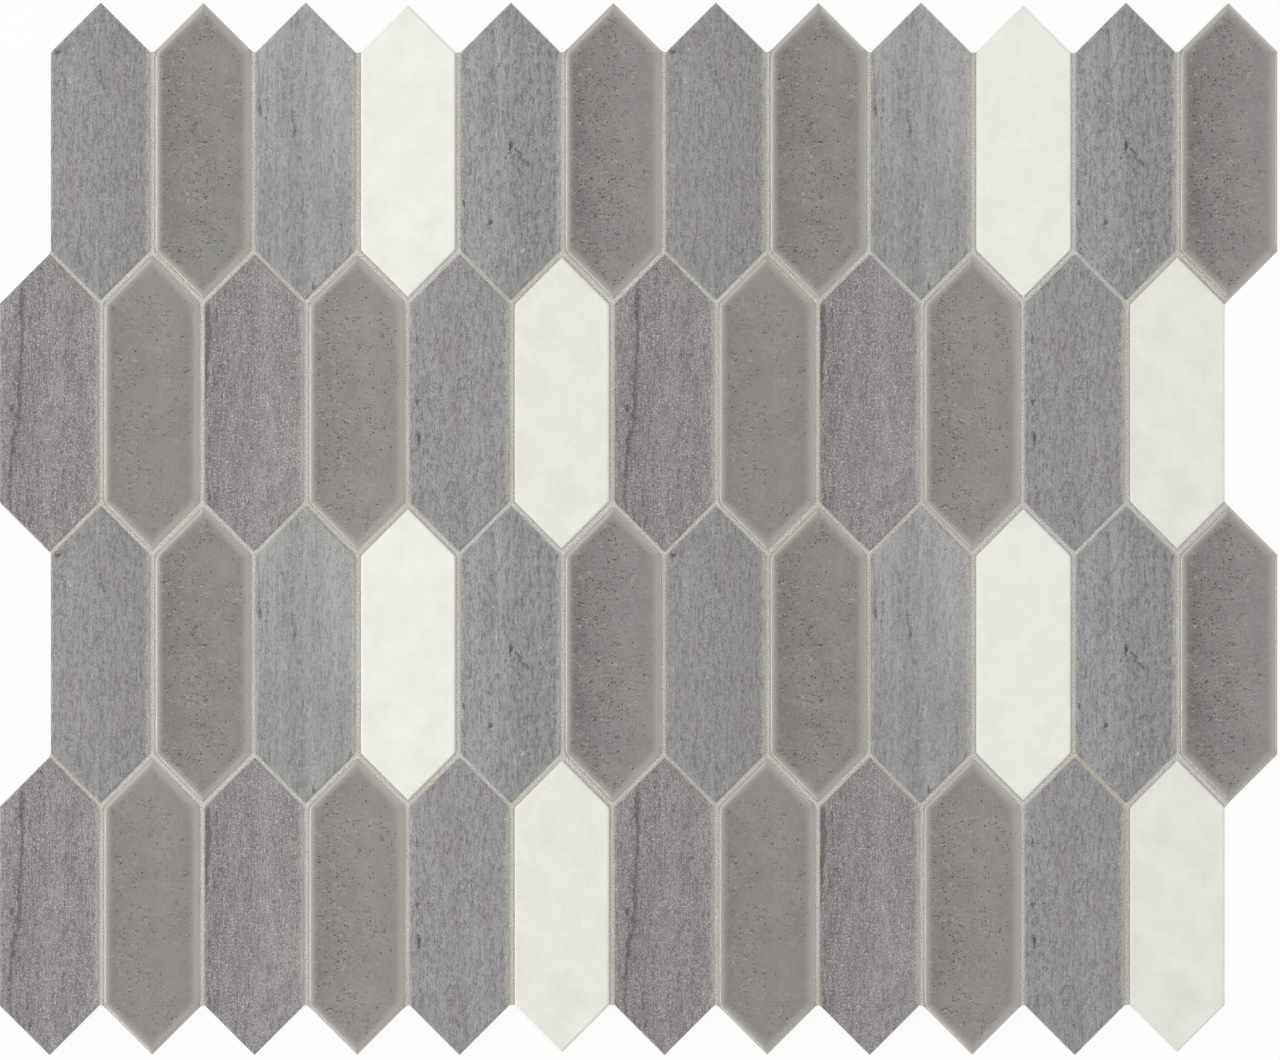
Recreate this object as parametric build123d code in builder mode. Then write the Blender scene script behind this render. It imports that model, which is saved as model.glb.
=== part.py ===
from build123d import *
from math import ceil, cos, radians, tan
import os

# A sheet of picket mosaic, lying face up. X runs along the rows, Y along the
# pickets and Z up through the thickness. The origin is under the sheet's centre,
# on the surface that it lies on. All sizes are in millimetres.

# The laying pattern: every row holds the same pickets as the row two above it,
# and odd rows stand half a pitch to the right of even ones.
rows = 4
columns = 12
row_patterns = (
    ("stone", "glazed", "stone", "white", "stone", "glazed"),
    ("stone", "glazed", "stone", "glazed", "stone", "white"),
)

# Pickets. One length sets the rows: the glazed ones are as long as the stone ones,
# and the white ones are a little shorter.
picket_thickness = 8.0
point_slope = 45.0

stone_width = 24.7
stone_length = 73.8
stone_arris = 0.6

glazed_width = 24.3
glazed_length = stone_length
glazed_roll = 1.2

white_width = 23.5
white_shorter = 1.4
white_length = stone_length - white_shorter
white_roll = 0.6

# Joints. The side joint lies between a stone picket and the widest ceramic one,
# the slope joint between the points of the longest pickets.
side_joint = 0.9
slope_joint = 0.86
grout_below_face = 0.4

# Glass-fibre backing mesh, two layers of flat threads
thread_width = 0.9
thread_thickness = 0.25
thread_pitch = 5.0
mesh_margin = 1.5

# Worked out from the sizes above
slope = tan(radians(point_slope))
pitch = (stone_width + max(glazed_width, white_width)) / 2 + side_joint
longest = max(stone_length, glazed_length, white_length)
row_pitch = longest + slope_joint / cos(radians(point_slope)) - pitch / 2 * slope
mesh_thickness = 2 * thread_thickness
face_level = mesh_thickness + picket_thickness
grout_level = face_level - grout_below_face

plan_sizes = {
    "stone": (stone_width, stone_length),
    "glazed": (glazed_width, glazed_length),
    "white": (white_width, white_length),
}


def kind_at(row, column):
    """The kind of picket at a place, counted from the upper left."""
    pattern = row_patterns[row % len(row_patterns)]
    return pattern[column % len(pattern)]


def half_width(row, column):
    return plan_sizes[kind_at(row, column)][0] / 2


def grid_x(row, column):
    """A picket's middle along the row, before the sheet is centred on the origin."""
    side_step = pitch / 4 if row % 2 == 0 else -pitch / 4
    return (column - (columns - 1) / 2) * pitch + side_step


left_end = min(grid_x(row, 0) - half_width(row, 0) for row in range(rows))
right_end = max(grid_x(row, columns - 1) + half_width(row, columns - 1) for row in range(rows))
sheet_middle = (left_end + right_end) / 2


def middle(row, column):
    """Where a picket's middle lies on the sheet."""
    return grid_x(row, column) - sheet_middle, ((rows - 1) / 2 - row) * row_pitch


def corners(row, column, inset=0.0):
    """A picket's six corners on the sheet, by name, with its edges moved in by the inset."""
    width, length = plan_sizes[kind_at(row, column)]
    x, y = middle(row, column)
    side = width / 2 - inset
    tip = length / 2 - inset / cos(radians(point_slope))
    shoulder = tip - side * slope
    return {
        "top": (x, y + tip),
        "upper_right": (x + side, y + shoulder),
        "lower_right": (x + side, y - shoulder),
        "bottom": (x, y - tip),
        "lower_left": (x - side, y - shoulder),
        "upper_left": (x - side, y + shoulder),
    }


def plan_points(row, column):
    return list(corners(row, column).values())


# Pickets: sawn stone with eased arrises, and pressed ceramic with rolled edges
def make_picket(row, column):
    kind = kind_at(row, column)
    with BuildPart() as picket:
        with BuildSketch(Plane.XY.offset(mesh_thickness)):
            with BuildLine():
                Polyline(*plan_points(row, column), close=True)
            make_face()
        extrude(amount=picket_thickness)
        face_edges = picket.faces().sort_by(Axis.Z)[-1].edges()
        if kind == "stone":
            chamfer(face_edges, stone_arris)
        elif kind == "glazed":
            fillet(face_edges, glazed_roll)
        else:
            fillet(face_edges, white_roll)
    return picket.part


places = [(row, column) for row in range(rows) for column in range(columns)]
pickets = {}
for row, column in places:
    name = f"{kind_at(row, column)}_picket_r{row + 1}_c{column + 1:02d}"
    pickets[name] = make_picket(row, column)


# Grout: one cast network. It ends flush with the outer pickets, straight from one
# picket's corner to the next one's, and inside the sheet it laps over their eased edges.
def sheet_outline(inset=0.0):
    """The outline of the pickets and the joints between them, clockwise from the upper left."""
    last = columns - 1
    points = []
    for column in range(columns):
        upper = corners(0, column, inset)
        points += [upper["upper_left"], upper["top"], upper["upper_right"]]
    for row in range(rows):
        side = corners(row, last, inset)
        stands_out = row % 2 == 0
        if stands_out and row > 0:
            points.append(side["top"])
        points += [side["upper_right"], side["lower_right"]]
        if stands_out and row + 1 < rows:
            points.append(side["bottom"])
    for column in reversed(range(columns)):
        lower = corners(rows - 1, column, inset)
        points += [lower["lower_right"], lower["bottom"], lower["lower_left"]]
    for row in reversed(range(rows)):
        side = corners(row, 0, inset)
        stands_out = row % 2 == 1
        if stands_out and row + 1 < rows:
            points.append(side["bottom"])
        points += [side["lower_left"], side["upper_left"]]
        if stands_out and row > 0:
            points.append(side["top"])
    return list(dict.fromkeys(points))


with BuildSketch() as grout_plan:
    with BuildLine():
        Polyline(*sheet_outline(), close=True)
    make_face()
    for row, column in places:
        with BuildLine():
            Polyline(*plan_points(row, column), close=True)
        make_face(mode=Mode.SUBTRACT)
    with BuildLine():
        Polyline(*sheet_outline(inset=max(stone_arris, glazed_roll, white_roll)), close=True)
    make_face()

with BuildPart() as grout:
    with BuildSketch(Plane.XY.offset(mesh_thickness)):
        add(grout_plan.sketch)
    extrude(amount=grout_level - mesh_thickness)
    add(list(pickets.values()), mode=Mode.SUBTRACT)

# Backing mesh: cut to straight steps that stay under the pickets
straight_half = min(length / 2 - width / 2 * slope for width, length in plan_sizes.values())
row_left = [middle(row, 0)[0] - half_width(row, 0) + mesh_margin for row in range(rows)]
row_right = [
    middle(row, columns - 1)[0] + half_width(row, columns - 1) - mesh_margin for row in range(rows)
]
band_half = straight_half - mesh_margin

with BuildSketch() as mesh_plan:
    with Locations(((max(row_left) + min(row_right)) / 2, 0)):
        Rectangle(min(row_right) - max(row_left), (rows - 1) * row_pitch + 2 * band_half)
    for row in range(rows):
        with Locations(((row_left[row] + row_right[row]) / 2, middle(row, 0)[1])):
            Rectangle(row_right[row] - row_left[row], 2 * band_half)


def thread_count(span):
    return ceil(span / thread_pitch) + 1


sheet_width = right_end - left_end
sheet_length = (rows - 1) * row_pitch + longest

with BuildPart() as weft_threads:
    with BuildSketch():
        with GridLocations(0, thread_pitch, 1, thread_count(sheet_length)):
            Rectangle(sheet_width, thread_width)
        add(mesh_plan.sketch, mode=Mode.INTERSECT)
    extrude(amount=thread_thickness)

with BuildPart() as warp_threads:
    with BuildSketch(Plane.XY.offset(thread_thickness)):
        with GridLocations(thread_pitch, 0, thread_count(sheet_width), 1):
            Rectangle(thread_width, sheet_length)
        add(mesh_plan.sketch, mode=Mode.INTERSECT)
    extrude(amount=thread_thickness)

os.makedirs("parts", exist_ok=True)
for name, picket in pickets.items():
    picket.label = name
    export_step(picket, f"parts/{name}.step")

grout.part.label = "grout"
export_step(grout.part, "parts/grout.step")

weft_threads.part.label = "weft_threads"
export_step(weft_threads.part, "parts/weft_threads.step")

warp_threads.part.label = "warp_threads"
export_step(warp_threads.part, "parts/warp_threads.step")
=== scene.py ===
# %% [markdown]
# # A sheet of picket mosaic
# The part is a flat sheet of 48 long six-sided pickets in four staggered rows: vein-cut grey
# stone, grey glazed ceramic and white glazed ceramic, with sanded grout in the joints and a
# glass-fibre mesh behind. The model made with CAD fixes every size and place. This lesson gives
# it its finish: it replaces each plain solid with a dressed one of the same size.

from math import cos, pi, radians, sin, sqrt

import bmesh
import bpy
import numpy as np
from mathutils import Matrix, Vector


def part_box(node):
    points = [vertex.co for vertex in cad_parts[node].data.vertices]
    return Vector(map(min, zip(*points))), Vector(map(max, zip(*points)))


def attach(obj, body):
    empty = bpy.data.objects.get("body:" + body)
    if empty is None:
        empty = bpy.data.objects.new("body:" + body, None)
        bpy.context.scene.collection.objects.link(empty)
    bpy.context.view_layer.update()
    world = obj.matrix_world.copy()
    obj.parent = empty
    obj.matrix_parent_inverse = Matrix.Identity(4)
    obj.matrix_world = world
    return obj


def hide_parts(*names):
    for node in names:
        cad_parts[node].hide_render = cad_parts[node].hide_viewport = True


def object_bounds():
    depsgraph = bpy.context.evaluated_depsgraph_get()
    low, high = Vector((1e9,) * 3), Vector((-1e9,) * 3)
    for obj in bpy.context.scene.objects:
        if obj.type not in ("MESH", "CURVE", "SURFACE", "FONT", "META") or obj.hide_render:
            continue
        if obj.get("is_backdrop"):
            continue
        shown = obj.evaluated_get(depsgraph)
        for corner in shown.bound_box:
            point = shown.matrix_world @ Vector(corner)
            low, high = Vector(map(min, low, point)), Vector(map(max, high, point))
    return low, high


MM = 0.001
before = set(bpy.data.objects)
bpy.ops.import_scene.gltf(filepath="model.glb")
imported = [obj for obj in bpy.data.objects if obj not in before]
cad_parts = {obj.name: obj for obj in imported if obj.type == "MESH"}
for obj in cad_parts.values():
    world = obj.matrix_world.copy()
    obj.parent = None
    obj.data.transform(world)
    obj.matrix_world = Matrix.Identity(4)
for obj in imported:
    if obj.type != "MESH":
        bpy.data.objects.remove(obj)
cad_low, cad_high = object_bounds()
scene = bpy.context.scene
scene.view_settings.view_transform = "Standard"
print("CAD box in mm:", [round(v / MM, 2) for v in (*cad_low, *cad_high)])

# %% [markdown]
# ## Camera
# The sheet was photographed from straight above, with so little perspective that no side of a
# picket shows. An orthographic camera would do that too, but a long lens from far away keeps the
# faint perspective of a real studio picture, and it frames well from other sides.

# %% Camera
VIEW_WIDTH = 317.0 * MM
LENS = 200.0
SENSOR = 36.0
AIM = (0.35 * MM, -0.3 * MM)

camera_data = bpy.data.cameras.new("camera")
camera_data.lens = LENS
camera_data.sensor_width = SENSOR
camera_data.clip_start = 0.05
camera = bpy.data.objects.new("camera", camera_data)
camera.location = (*AIM, cad_high.z + VIEW_WIDTH * LENS / SENSOR)
scene.collection.objects.link(camera)
scene.camera = camera
print("camera height in m:", round(camera.location.z, 3))

# %% [markdown]
# ## Studio light
# The light is soft and comes from everywhere, with a large soft box at the upper left. Small
# strips of light stand low around the table, where the rolled edge of a glazed picket, which
# tilts by some 35 degrees, mirrors them as a thin bright line. The ones on the left are the
# strongest, so a picket's right edge also shades the grout beside it. The sum is set so that a
# colour renders about as it is written.

# %% Studio light
world = bpy.data.worlds.new("studio")
scene.world = world
world.use_nodes = True
WORLD_LEVEL = 0.43
world.node_tree.nodes["Background"].inputs["Color"].default_value = (1.0, 1.0, 1.0, 1.0)
world.node_tree.nodes["Background"].inputs["Strength"].default_value = WORLD_LEVEL

# bearing from the right-hand side and height above the table in degrees, distance, width and
# height in metres, and radiance, where a white wall in full light is 1
LAMPS = {
    "key_box": (142, 52, 1.3, 1.0, 1.0, 2.0),
    "left_strip": (182, 20, 1.1, 0.6, 0.20, 12.0),
    "lower_left_strip": (225, 20, 1.1, 0.5, 0.18, 10.0),
    "upper_right_strip": (45, 20, 1.1, 0.5, 0.18, 8.0),
    "right_strip": (0, 18, 1.1, 0.5, 0.16, 7.0),
    "lower_right_strip": (-45, 18, 1.1, 0.5, 0.16, 6.0),
}
for name, (bearing, height, distance, wide, tall, radiance) in LAMPS.items():
    lamp_data = bpy.data.lights.new(name, "AREA")
    lamp_data.shape = "RECTANGLE"
    lamp_data.size, lamp_data.size_y = wide, tall
    lamp_data.energy = pi * wide * tall * radiance
    lamp = bpy.data.objects.new(name, lamp_data)
    flat = cos(radians(height))
    towards = Vector((flat * cos(radians(bearing)), flat * sin(radians(bearing)), sin(radians(height))))
    lamp.location = towards * distance
    lamp.rotation_euler = towards.to_track_quat("Z", "Y").to_euler()
    scene.collection.objects.link(lamp)
    share = radiance * wide * tall * towards.z / distance**2 / pi
    print(name, "share of the light on the table:", round(share, 3))

# %% [markdown]
# ## Helpers
# Colours are written as hex values, the way a paint chart or a picture editor shows them, and
# one function turns them into the linear values that a shader works in. Another adds any shader
# node with its settings and its links, so that a material reads as a list of steps. In those
# steps a Map Range takes its value, the range it comes from and the range it goes to, and a Mix
# takes its amount as input 0 and its colours as inputs 6 and 7.

# %% Helpers for colours and nodes
def linear(hex_colour):
    """The linear colour of an sRGB hex value."""
    channels = []
    for start in (1, 3, 5):
        value = int(hex_colour[start : start + 2], 16) / 255
        channels.append(value / 12.92 if value <= 0.04045 else ((value + 0.055) / 1.055) ** 2.4)
    return (*channels, 1.0)


def set_inputs(tree, node, inputs):
    """Sets a node's inputs, by name or number or in their order. A value can be an output, or a
    node, which is then linked by its first output."""
    for socket, value in inputs.items() if isinstance(inputs, dict) else enumerate(inputs):
        if isinstance(value, bpy.types.Node):
            value = next(output for output in value.outputs if output.enabled)
        if isinstance(value, bpy.types.NodeSocket):
            tree.links.new(value, node.inputs[socket])
        else:
            node.inputs[socket].default_value = value


def add(tree, kind, inputs=(), **settings):
    """Adds a shader node with its settings and its inputs."""
    node = tree.nodes.new("ShaderNode" + kind)
    for setting, value in settings.items():
        setattr(node, setting, value)
    set_inputs(tree, node, inputs)
    return node


def new_material(name):
    """An empty material, with its node tree and its Principled shader."""
    material = bpy.data.materials.new(name)
    material.use_nodes = True
    tree = material.node_tree
    return material, tree, tree.nodes["Principled BSDF"]


print("a mid grey of #808080 is", round(linear("#808080")[0], 4), "in linear light")

# %% [markdown]
# Relief such as saw marks and sand needs noise in the mesh itself as well. This is value noise:
# a table of random numbers, one for each cell of a grid, blended smoothly in between. The table
# has a fixed seed, so every run gives the same sheet.

# %% Noise for the meshes
def mesh_noise(x, y, cell_x, cell_y, seed):
    """Smooth noise from -1 to 1 at points in mm, with cells of the given size in mm."""
    size = 256
    table = np.random.RandomState(seed).uniform(-1, 1, (size, size))
    u, v = np.asarray(x) / cell_x, np.asarray(y) / cell_y
    i, j = np.floor(u).astype(int), np.floor(v).astype(int)
    fu, fv = u - i, v - j
    fu, fv = fu * fu * (3 - 2 * fu), fv * fv * (3 - 2 * fv)
    i0, i1, j0, j1 = i % size, (i + 1) % size, j % size, (j + 1) % size
    lower = table[i0, j0] * (1 - fu) + table[i1, j0] * fu
    upper = table[i0, j1] * (1 - fu) + table[i1, j1] * fu
    return lower * (1 - fv) + upper * fv


print("noise at one point:", round(float(mesh_noise(1.0, 2.0, 3.0, 3.0, 1)), 4))

# %% [markdown]
# ## Where the pickets are
# Each picket of the CAD model is a node of its own, named by its material, row and column. Its
# box gives its middle, its width and its length. The rows repeat after two rows and six columns,
# so there are only twelve different faces. They are numbered here as they stand in a row.

# %% Read the pickets from the frame
FACE_ORDER = (
    ("stone_a", "glazed_a", "stone_b", "white_a", "stone_c", "glazed_b"),
    ("stone_d", "glazed_c", "stone_e", "glazed_d", "stone_f", "white_b"),
)
ROWS, COLUMNS = 4, 12
pickets = {}
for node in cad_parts:
    if "_picket_" not in node:
        continue
    kind, _, row_name, column_name = node.split("_")
    row, column = int(row_name[1:]) - 1, int(column_name[1:]) - 1
    low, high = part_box(node)
    pickets[row, column] = {
        "node": node,
        "kind": kind,
        "face": FACE_ORDER[row % 2][column % 6],
        "middle": ((low.x + high.x) / 2 / MM, (low.y + high.y) / 2 / MM),
        "width": (high.x - low.x) / MM,
        "length": (high.y - low.y) / MM,
    }
    underside, face_level = low.z / MM, high.z / MM
picket_sizes = {p["kind"]: (p["width"], p["length"]) for p in pickets.values()}
for kind, size in picket_sizes.items():
    print(kind, "width and length in mm:", [round(value, 2) for value in size])
print(len(pickets), "pickets")

# %% [markdown]
# ## The shape of a picket
# A picket could be a subdivided box, but then the soft edge would never run true along all six
# sides. Here its face is a grid that follows the outline: near the edge, rings keep a fixed
# distance from it, so that the eased or rolled edge falls exactly on mesh lines, also at the
# mitres. Inside the last ring an even grid carries the relief. Every point knows how far it is
# from the edge, and the materials read that too.

# %% The grid of a picket
def picket_rows(width, length, inset, slope_steps, side_steps):
    """Half widths and heights of the rows of points, for the outline moved in by the inset."""
    side = width / 2 - inset
    tip = length / 2 - inset * sqrt(2)
    shoulder = tip - side
    on_slope = np.linspace(0, 1, slope_steps + 1)
    on_side = np.linspace(shoulder, -shoulder, side_steps + 1)[1:-1]
    half = np.concatenate([side * on_slope, np.full(side_steps - 1, side), side * on_slope[::-1]])
    height = np.concatenate([tip - side * on_slope, on_side, -tip + side * on_slope[::-1]])
    return half, height


def edge_distance(x, y, width, length, blend):
    """Distance from the nearest edge in mm. The blend rounds the mitres."""
    side = width / 2 - np.abs(x)
    slope = (length / 2 - np.abs(y) - np.abs(x)) / sqrt(2)
    if blend == 0:
        return np.minimum(side, slope)
    mix = np.clip(0.5 + 0.5 * (slope - side) / blend, 0, 1)
    return slope * (1 - mix) + side * mix - blend * mix * (1 - mix)


def picket_face(width, length, rings, across, step):
    """Points of a face as rows from the upper tip to the lower one, and how they join."""
    slope_steps = int(round((width / 2 - rings[-1]) * sqrt(2) / step))
    side_steps = int(round((length - width) / step))
    by_ring = [picket_rows(width, length, inset, slope_steps, side_steps) for inset in rings]
    halves, heights = [half for half, _ in by_ring], [height for _, height in by_ring]
    inner = np.linspace(-1, 1, across + 1)[1:-1]
    inner_halves = [halves[-1] * u for u in inner]
    x = np.column_stack([-half for half in halves] + inner_halves + halves[::-1])
    y = np.column_stack(heights + [heights[-1]] * len(inner) + heights[::-1])
    count = x.shape[1]
    index = np.arange(x.size).reshape(x.shape)
    columns = np.arange(count)
    at_tip = np.minimum(np.minimum(columns, count - 1 - columns), len(rings) - 1)
    index[0] = index[0, at_tip]
    index[-1] = index[-1, at_tip]
    return x, y, index


print("rows of a stone face at 0.6 mm:", len(picket_rows(*picket_sizes["stone"], 0.0, 28, 82)[0]))

# %% [markdown]
# From the grid to a solid: the face gets its heights, a wall goes down all round, and strips
# close the back. Degenerate corners at the tips are dropped, so that the mesh is clean.

# %% From grid to solid
def quads_of_grid(index):
    """The faces of a grid of numbered points, four numbers each."""
    quads = np.stack([index[:-1, :-1], index[1:, :-1], index[1:, 1:], index[:-1, 1:]], axis=-1)
    return quads.reshape(-1, 4)


def quads_between(line, other):
    """The faces between two lines of numbered points, or between two sets of lines."""
    return np.stack([line[:-1], other[:-1], other[1:], line[1:]], axis=-1).reshape(-1, 4)


def picket_solid(name, x, y, z, index, point_values):
    """A closed mesh from a face's grid, its origin under the middle of the picket's back."""
    rows = len(index)
    loop = np.concatenate([index[:, 0], index[-2:0:-1, -1]])
    below = x.size + np.arange(len(loop))
    walls = quads_between(np.append(loop, loop[0]), np.append(below, below[0]))
    left = below[:rows]
    right = np.concatenate([below[:1], below[rows:][::-1], below[rows - 1 : rows]])
    faces = []
    for corners in np.concatenate([quads_of_grid(index), walls, quads_between(left, right)]).tolist():
        clean = list(dict.fromkeys(corners))
        if len(clean) > 2:
            faces.append(clean)
    face_points = np.column_stack([x.ravel(), y.ravel(), z.ravel()])
    points = np.concatenate([face_points, face_points[loop] * (1, 1, 0)])
    used = np.unique(np.concatenate([np.array(face) for face in faces]))
    renumber = np.zeros(len(points), int)
    renumber[used] = np.arange(len(used))
    mesh = bpy.data.meshes.new(name)
    mesh.from_pydata(points[used] * MM, [], [[int(renumber[i]) for i in face] for face in faces])
    for value_name, values in point_values.items():
        all_values = np.concatenate([values.ravel(), values.ravel()[loop]])[used]
        attribute = mesh.attributes.new(value_name, "FLOAT", "POINT")
        attribute.data.foreach_set("value", all_values.astype(np.float32))
    mesh.shade_smooth()
    mesh.set_sharp_from_angle(angle=radians(42))
    return mesh


def distance_to_line(x, y, line):
    """Distance in mm from a bent line that is given by its points."""
    best = np.full(x.shape, 1e3)
    for (x0, y0), (x1, y1) in zip(line, line[1:]):
        length2 = (x1 - x0) ** 2 + (y1 - y0) ** 2
        t = np.clip(((x - x0) * (x1 - x0) + (y - y0) * (y1 - y0)) / length2, 0, 1)
        best = np.minimum(best, np.hypot(x - x0 - t * (x1 - x0), y - y0 - t * (y1 - y0)))
    return best


at_origin = distance_to_line(np.zeros(1), np.zeros(1), [(1, -1), (1, 1)])
print("distance of the origin from a test line:", float(at_origin[0]))

# %% [markdown]
# ## Stone pickets
# The stone is a grey limestone, sawn along its veins, so that they run up and down each picket,
# then honed flat and eased on its edges. A few faces have marks that anyone would notice: an open
# pit, a dark wavy vein, light fossils. Those are placed one by one, in mm from the middle of the
# picket. The pits and veins are cut into the mesh, and the material reads their distances, so
# that their edges stay crisp.

# %% Stone meshes
PICKET_THICKNESS = face_level - underside
STONE_ARRIS = 0.55
STONE_RINGS = (0.0, 0.15, 0.3, 0.45, 0.6, 0.8, 1.2)
ARRIS_SOFTNESS = 0.06
GRAIN_DEPTH = 0.03
PIT_DEPTH = 0.35
VEIN_DEPTH = 0.08
FAR = 9.0
DARK_VEIN = [(-6.8, 28.0), (-6.6, 21.0), (-6.8, 15.4), (-7.4, 4.0), (-7.4, -4.9), (-8.8, -8.8)]
DARK_VEIN += [(-9.5, -14.3), (-9.8, -25.9)]
# step: size of the mesh's cells; pits: middle, half width and half length; flecks: middle and
# radius; veins: how much thinner they are than usual (below zero, wider), and their points
STONE_MARKS = {
    "stone_a": {
        "step": 0.6,
        "pits": [(-4.2, -2.0, 0.12, 0.16), (-10.5, 24.6, 0.5, 0.35)],
        "flecks": [(-7.9, 18.0, 0.2), (-7.3, 17.1, 0.15), (-6.9, 25.2, 0.1)],
        "veins": [
            (0.25, [(-1.2, 21.9), (-0.2, 20.2), (0.6, 17.0), (0.9, 15.0)]),
            (0.3, [(-1.2, 9.5), (-0.7, 7.4)]),
        ],
    },
    "stone_b": {
        "step": 0.6,
        "pits": [(7.1, 0.0, 0.15, 0.25), (2.0, -33.6, 0.2, 0.5), (-11.3, 10.2, 0.15, 0.9)],
        "flecks": [],
        "veins": [
            (0.1, [(-2.6, 10.0), (-3.1, 7.5), (-2.7, 5.0), (-3.0, 3.5)]),
            (0.1, [(-9.7, 13.0), (-9.4, 10.5), (-9.8, 8.0)]),
            (0.2, [(-3.4, 18.5), (-3.1, 16.6)]),
        ],
    },
    "stone_c": {
        "step": 0.4,
        "pits": [
            (0.0, 1.5, 0.35, 1.1),
            (-5.0, -17.7, 0.4, 0.4),
            (-1.2, -1.7, 0.12, 0.2),
            (-11.7, -12.7, 0.2, 0.6),
        ],
        "flecks": [(-4.3, 12.0, 0.18), (-3.7, 4.2, 0.15), (3.1, -24.4, 0.25), (2.7, -24.8, 0.15)],
        "veins": [(0.05, [(1.2, 0.6), (2.2, -0.8), (2.7, -2.0), (4.2, -3.3)])],
    },
    "stone_d": {
        "step": 0.55,
        "pits": [(-9.3, -1.4, 0.4, 0.8)],
        "flecks": [],
        "veins": [(-0.08, DARK_VEIN)],
    },
    "stone_e": {
        "step": 0.6,
        "pits": [],
        "flecks": [(2.0, 9.0, 0.2), (-1.0, -12.0, 0.2)],
        "veins": [
            (-0.4, [(-11.8, 24.0), (-11.5, 18.0), (-12.0, 9.0), (-12.5, 1.0)]),
            (0.2, [(-9.3, 24.0), (-9.0, 18.5)]),
        ],
    },
    "stone_f": {
        "step": 0.55,
        "pits": [(-10.4, 15.7, 0.3, 0.7), (-10.4, 0.0, 0.3, 0.9), (-10.0, -8.8, 0.35, 1.2)],
        "flecks": [(-6.1, 9.2, 0.2), (-6.6, 2.1, 0.2), (11.0, 10.4, 0.2)],
        "veins": [],
    },
}


def make_stone(name, marks, seed):
    """A stone picket with its worn arris, open grain, pits and veins."""
    width, length = picket_sizes["stone"]
    across = int(round((width - 2 * STONE_RINGS[-1]) / marks["step"]))
    x, y, index = picket_face(width, length, STONE_RINGS, across, marks["step"])
    edge = edge_distance(x, y, width, length, 0)
    wear = STONE_ARRIS * (0.88 + 0.12 * mesh_noise(x, y, 1.7, 2.3, seed))
    cut = wear - edge
    z = PICKET_THICKNESS - 0.5 * (cut + np.sqrt(cut**2 + ARRIS_SOFTNESS**2))
    inside = np.clip((edge - 0.6) / 0.8, 0, 1)
    grain = 0.5 + 0.5 * mesh_noise(x, y, 0.9, 5.0, seed + 1)
    z -= inside * GRAIN_DEPTH * grain
    pit = np.full(x.shape, FAR)
    for px, py, half_wide, half_tall in marks["pits"]:
        from_middle = np.hypot((x - px) / half_wide, (y - py) / half_tall)
        pit = np.minimum(pit, (from_middle - 1) * min(half_wide, half_tall))
    z -= PIT_DEPTH * np.clip(-pit / 0.3 + 0.2, 0, 1)
    vein = np.full(x.shape, FAR)
    wavy = x + 0.35 * mesh_noise(x, y, 2.0, 1.6, seed + 2)
    for faintness, line in marks["veins"]:
        vein = np.minimum(vein, distance_to_line(wavy, y, line) + faintness)
    z -= VEIN_DEPTH * np.clip(1 - vein / 0.5, 0, 1)
    fleck = np.full(x.shape, FAR)
    for fx, fy, radius in marks["flecks"]:
        fleck = np.minimum(fleck, np.hypot(x - fx, y - fy) - radius)
    values = {"edge_mm": edge, "pit_mm": pit, "vein_mm": vein, "fleck_mm": fleck}
    return picket_solid(name, x, y, z, index, values)


picket_meshes = {}
for number, (name, marks) in enumerate(STONE_MARKS.items()):
    picket_meshes[name] = make_stone(name, marks, 100 + 10 * number)
    print(name, len(picket_meshes[name].polygons), "faces")

# %% [markdown]
# ## Ceramic pickets
# The ceramic pickets are pressed, so their edges are rolled over and the glaze has pulled the
# mitres round. The grey ones have a wide roll, the white ones a tight one. The face is not quite
# flat either: it waves by a few hundredths of a millimetre, which only shows in reflections.

# %% Ceramic meshes
CERAMIC = {
    "glazed": {"roll": 1.2, "rings": (0.0, 0.1, 0.22, 0.38, 0.56, 0.76, 0.96, 1.2, 1.6, 2.4), "mitre": 0.6},
    "white": {"roll": 0.6, "rings": (0.0, 0.05, 0.12, 0.22, 0.33, 0.46, 0.6, 0.85, 1.4, 2.4), "mitre": 0.3},
}
CERAMIC_STEP = 1.1
FACE_WAVES = 0.025


def make_ceramic(name, kind, seed):
    """A ceramic picket with its rolled edge and a face that waves a little."""
    width, length = picket_sizes[kind]
    shape = CERAMIC[kind]
    across = int(round((width - 2 * shape["rings"][-1]) / CERAMIC_STEP))
    x, y, index = picket_face(width, length, shape["rings"], across, CERAMIC_STEP)
    edge = edge_distance(x, y, width, length, 0)
    rounded = np.clip(edge_distance(x, y, width, length, shape["mitre"]), 0, None)
    within = np.clip(shape["roll"] - rounded, 0, shape["roll"])
    z = PICKET_THICKNESS - shape["roll"] + np.sqrt(shape["roll"] ** 2 - within**2)
    inside = np.clip((edge - shape["roll"]) / 2.0, 0, 1)
    z -= inside * FACE_WAVES * (1 + mesh_noise(x, y, 5.0, 7.0, seed)) / 2
    return picket_solid(name, x, y, z, index, {"edge_mm": edge})


for number, name in enumerate(("glazed_a", "glazed_b", "glazed_c", "glazed_d", "white_a", "white_b")):
    picket_meshes[name] = make_ceramic(name, name.split("_")[0], 200 + 10 * number)
    print(name, len(picket_meshes[name].polygons), "faces")

# %% [markdown]
# ## Place the pickets
# Every picket stands where its CAD node stands and replaces it. Pickets with the same face share
# one mesh, the way the real sheet repeats after six.


def place_piece(name, mesh, location, node):
    """Puts a mesh in the scene, in place of a CAD node."""
    piece = bpy.data.objects.new(name, mesh)
    piece.location = location
    scene.collection.objects.link(piece)
    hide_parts(node)
    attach(piece, "root")
    return piece


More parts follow.
